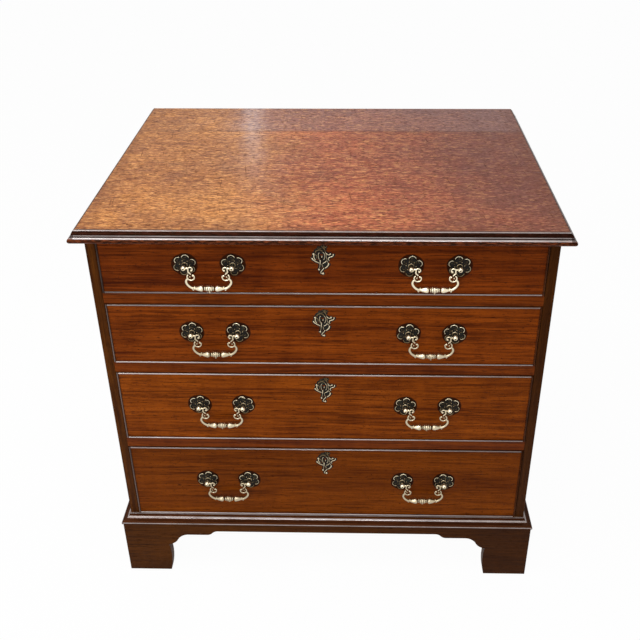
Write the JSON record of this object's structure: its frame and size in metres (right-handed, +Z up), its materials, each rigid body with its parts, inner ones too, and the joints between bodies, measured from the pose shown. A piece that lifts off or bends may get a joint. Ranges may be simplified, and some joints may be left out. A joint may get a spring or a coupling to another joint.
{
  "type": "bachelors chest",
  "caption": "Georgian mahogany bachelors chest of long drawers with a moulded overhanging top, cockbeaded drawer fronts, bracket feet, pierced keyhole plates and brass swing handles.",
  "frame": {"origin": "on the floor, midway between the two ends of the top and midway between its front and back edges", "axes": "+X to the right as seen from the front, +Y from the front to the back, +Z up; the drawers open towards -Y"},
  "size_m": [0.8, 0.58, 0.77],
  "materials": {
    "mahogany": "old French polish over reddish brown mahogany",
    "mahogany_top": "faded and polished mahogany top",
    "dark_mahogany": "dark polished mouldings and cockbeads",
    "oak": "plain oak drawer linings, unpolished",
    "pine": "plain pine back and bottom, unpolished",
    "brass": "cast brass with an aged surface, dark in its recesses",
    "steel": "dull iron lock bolt"
  },
  "bodies": {
    "carcase": {"top_board": "mahogany_top", "side_left": "mahogany", "side_right": "mahogany", "back_boards": "pine", "bottom_board": "pine", "drawer_rails": "mahogany", "drawer_runners": "oak", "drawer_stops": "oak", "base_moulding_front": "dark_mahogany", "base_moulding_left": "dark_mahogany", "base_moulding_right": "dark_mahogany", "plinth_front": "mahogany", "plinth_left": "mahogany", "plinth_right": "mahogany", "back_brackets": "pine", "foot_blocks": "pine"},
    "drawer_1": {"drawer_1_front": "mahogany", "drawer_1_sides": "oak", "drawer_1_back": "oak", "drawer_1_bottom": "oak", "drawer_1_cockbeads": "dark_mahogany", "drawer_1_lock": "brass", "drawer_1_escutcheon": "brass", "drawer_1_handle_mounts": "brass"},
    "drawer_1_bail_left": {"drawer_1_bail_left": "brass"},
    "drawer_1_bail_right": {"drawer_1_bail_right": "brass"},
    "drawer_1_lock_bolt": {"drawer_1_lock_bolt": "steel"},
    "drawer_2": {"drawer_2_front": "mahogany", "drawer_2_sides": "oak", "drawer_2_back": "oak", "drawer_2_bottom": "oak", "drawer_2_cockbeads": "dark_mahogany", "drawer_2_lock": "brass", "drawer_2_escutcheon": "brass", "drawer_2_handle_mounts": "brass"},
    "drawer_2_bail_left": {"drawer_2_bail_left": "brass"},
    "drawer_2_bail_right": {"drawer_2_bail_right": "brass"},
    "drawer_2_lock_bolt": {"drawer_2_lock_bolt": "steel"},
    "drawer_3": {"drawer_3_front": "mahogany", "drawer_3_sides": "oak", "drawer_3_back": "oak", "drawer_3_bottom": "oak", "drawer_3_cockbeads": "dark_mahogany", "drawer_3_lock": "brass", "drawer_3_escutcheon": "brass", "drawer_3_handle_mounts": "brass"},
    "drawer_3_bail_left": {"drawer_3_bail_left": "brass"},
    "drawer_3_bail_right": {"drawer_3_bail_right": "brass"},
    "drawer_3_lock_bolt": {"drawer_3_lock_bolt": "steel"},
    "drawer_4": {"drawer_4_front": "mahogany", "drawer_4_sides": "oak", "drawer_4_back": "oak", "drawer_4_bottom": "oak", "drawer_4_cockbeads": "dark_mahogany", "drawer_4_lock": "brass", "drawer_4_escutcheon": "brass", "drawer_4_handle_mounts": "brass"},
    "drawer_4_bail_left": {"drawer_4_bail_left": "brass"},
    "drawer_4_bail_right": {"drawer_4_bail_right": "brass"},
    "drawer_4_lock_bolt": {"drawer_4_lock_bolt": "steel"}
  },
  "joints": [
    {"name": "drawer_1_slide", "type": "slide", "parent": "carcase", "child": "drawer_1", "axis": [0, -1, 0], "range_m": [0, 0.38]},
    {"name": "drawer_1_bail_left_swing", "type": "hinge", "parent": "drawer_1", "child": "drawer_1_bail_left", "pos_m": [-0.183, -0.282, 0.702], "axis": [-1, 0, 0], "range_deg": [-8, 160]},
    {"name": "drawer_1_bail_right_swing", "type": "hinge", "parent": "drawer_1", "child": "drawer_1_bail_right", "pos_m": [0.183, -0.282, 0.702], "axis": [-1, 0, 0], "range_deg": [-8, 160]},
    {"name": "drawer_1_lock_bolt_slide", "type": "slide", "parent": "drawer_1", "child": "drawer_1_lock_bolt", "axis": [0, 0, 1], "range_m": [0, 0.007]},
    {"name": "drawer_2_slide", "type": "slide", "parent": "carcase", "child": "drawer_2", "axis": [0, -1, 0], "range_m": [0, 0.38]},
    {"name": "drawer_2_bail_left_swing", "type": "hinge", "parent": "drawer_2", "child": "drawer_2_bail_left", "pos_m": [-0.183, -0.282, 0.57], "axis": [-1, 0, 0], "range_deg": [-8, 160]},
    {"name": "drawer_2_bail_right_swing", "type": "hinge", "parent": "drawer_2", "child": "drawer_2_bail_right", "pos_m": [0.183, -0.282, 0.57], "axis": [-1, 0, 0], "range_deg": [-8, 160]},
    {"name": "drawer_2_lock_bolt_slide", "type": "slide", "parent": "drawer_2", "child": "drawer_2_lock_bolt", "axis": [0, 0, 1], "range_m": [0, 0.007]},
    {"name": "drawer_3_slide", "type": "slide", "parent": "carcase", "child": "drawer_3", "axis": [0, -1, 0], "range_m": [0, 0.38]},
    {"name": "drawer_3_bail_left_swing", "type": "hinge", "parent": "drawer_3", "child": "drawer_3_bail_left", "pos_m": [-0.183, -0.282, 0.4135], "axis": [-1, 0, 0], "range_deg": [-8, 160]},
    {"name": "drawer_3_bail_right_swing", "type": "hinge", "parent": "drawer_3", "child": "drawer_3_bail_right", "pos_m": [0.183, -0.282, 0.4135], "axis": [-1, 0, 0], "range_deg": [-8, 160]},
    {"name": "drawer_3_lock_bolt_slide", "type": "slide", "parent": "drawer_3", "child": "drawer_3_lock_bolt", "axis": [0, 0, 1], "range_m": [0, 0.007]},
    {"name": "drawer_4_slide", "type": "slide", "parent": "carcase", "child": "drawer_4", "axis": [0, -1, 0], "range_m": [0, 0.38]},
    {"name": "drawer_4_bail_left_swing", "type": "hinge", "parent": "drawer_4", "child": "drawer_4_bail_left", "pos_m": [-0.183, -0.282, 0.233], "axis": [-1, 0, 0], "range_deg": [-8, 160]},
    {"name": "drawer_4_bail_right_swing", "type": "hinge", "parent": "drawer_4", "child": "drawer_4_bail_right", "pos_m": [0.183, -0.282, 0.233], "axis": [-1, 0, 0], "range_deg": [-8, 160]},
    {"name": "drawer_4_lock_bolt_slide", "type": "slide", "parent": "drawer_4", "child": "drawer_4_lock_bolt", "axis": [0, 0, 1], "range_m": [0, 0.007]}
  ]
}
